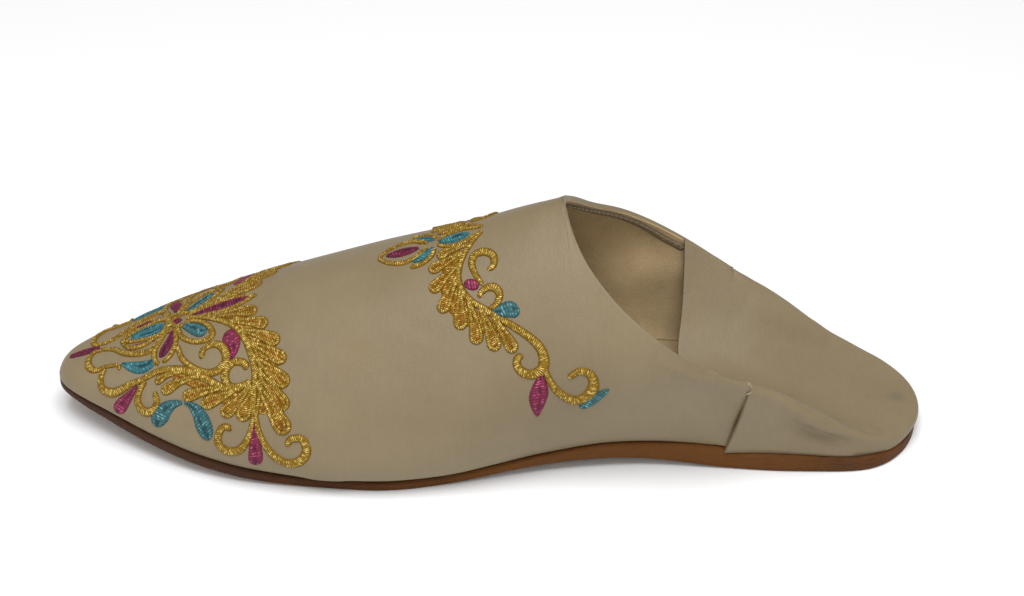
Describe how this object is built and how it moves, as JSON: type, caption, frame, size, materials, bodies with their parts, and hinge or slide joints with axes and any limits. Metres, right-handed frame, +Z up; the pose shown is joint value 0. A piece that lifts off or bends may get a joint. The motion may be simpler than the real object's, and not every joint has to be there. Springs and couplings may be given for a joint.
{
  "type": "babouche slipper",
  "caption": "Pointed leather babouche slipper with a high vamp, open throat, trodden-down heel folded inside as a flap, and a flat leather sole.",
  "frame": {"origin": "under the middle of the slipper on the floor", "axes": "+Z up, toe points to -Y, heel to +Y"},
  "size_m": [0.0896, 0.269, 0.0792],
  "materials": {
    "sole_leather": "cut leather edge, brown, satin",
    "insole_leather": "matt tan sock leather",
    "upper_leather": "smooth beige leather with a soft sheen",
    "binding_leather": "smooth beige leather, stitched"
  },
  "bodies": {
    "root": {"outsole": "sole_leather", "insole": "insole_leather", "upper_vamp": "upper_leather", "upper_heel_quarter": "upper_leather", "topline_binding": "binding_leather"}
  },
  "joints": []
}
